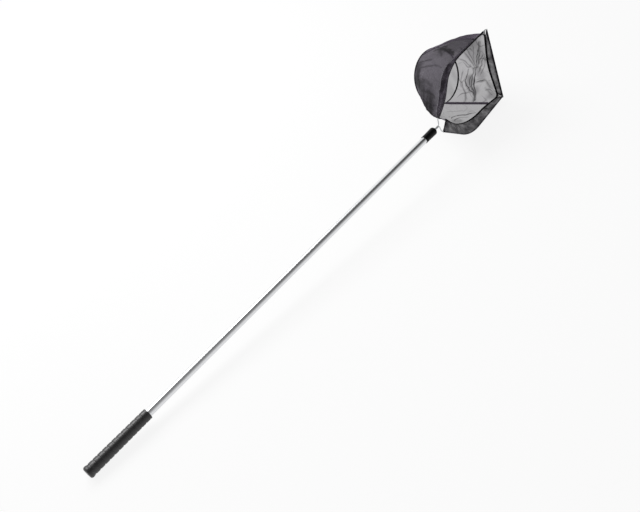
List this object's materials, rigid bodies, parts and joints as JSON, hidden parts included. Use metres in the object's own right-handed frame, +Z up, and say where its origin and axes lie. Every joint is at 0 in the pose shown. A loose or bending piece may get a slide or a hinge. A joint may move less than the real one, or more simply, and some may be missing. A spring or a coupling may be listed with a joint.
{
  "type": "pond net",
  "caption": "Pond algae net: straight aluminium pole with a ringed grip, capped wire hoop with a straight front bar, and a deep sewn mesh bag, lying on its side",
  "frame": {"origin": "centre of the flat end face of the grip's butt", "axes": "+Z is up and the net lies on its side on the ground below; +X is the pole's direction in plan, from the butt to the head; the bag lies toward +Y, and the pole rises slightly toward the head"},
  "size_m": [1.5034, 0.2163, 0.2216],
  "materials": {
    "pole_aluminium": "bare drawn aluminium tube, lightly brushed along its length",
    "grip_rubber": "black satin moulded sleeve with shallow rings",
    "collar_plastic": "black semi-gloss moulded cap",
    "plug_plastic": "black plastic plug hidden inside the pole",
    "hoop_wire": "bright drawn steel wire",
    "hem_cloth": "dark grey folded mesh cloth, two layers",
    "seam_thread": "black overlocked seam",
    "bag_mesh": "fine dark grey see-through mesh",
    "seam_tape": "black bound and felled seam"
  },
  "bodies": {
    "root": {"pole_tube": "pole_aluminium", "grip_sleeve": "grip_rubber", "end_collar": "collar_plastic", "wire_plug": "plug_plastic", "frame_wire": "hoop_wire", "front_hem": "hem_cloth", "upper_hem": "hem_cloth", "lower_hem": "hem_cloth", "upper_gusset": "hem_cloth", "lower_gusset": "hem_cloth", "front_hem_seam": "seam_thread", "upper_hem_seam": "seam_thread", "lower_hem_seam": "seam_thread", "upper_wall": "bag_mesh", "lower_wall": "bag_mesh", "front_wall": "bag_mesh", "bag_bottom": "bag_mesh", "bottom_binding": "seam_tape", "upper_side_seam": "seam_tape", "lower_side_seam": "seam_tape", "back_seam": "seam_tape"}
  },
  "joints": []
}
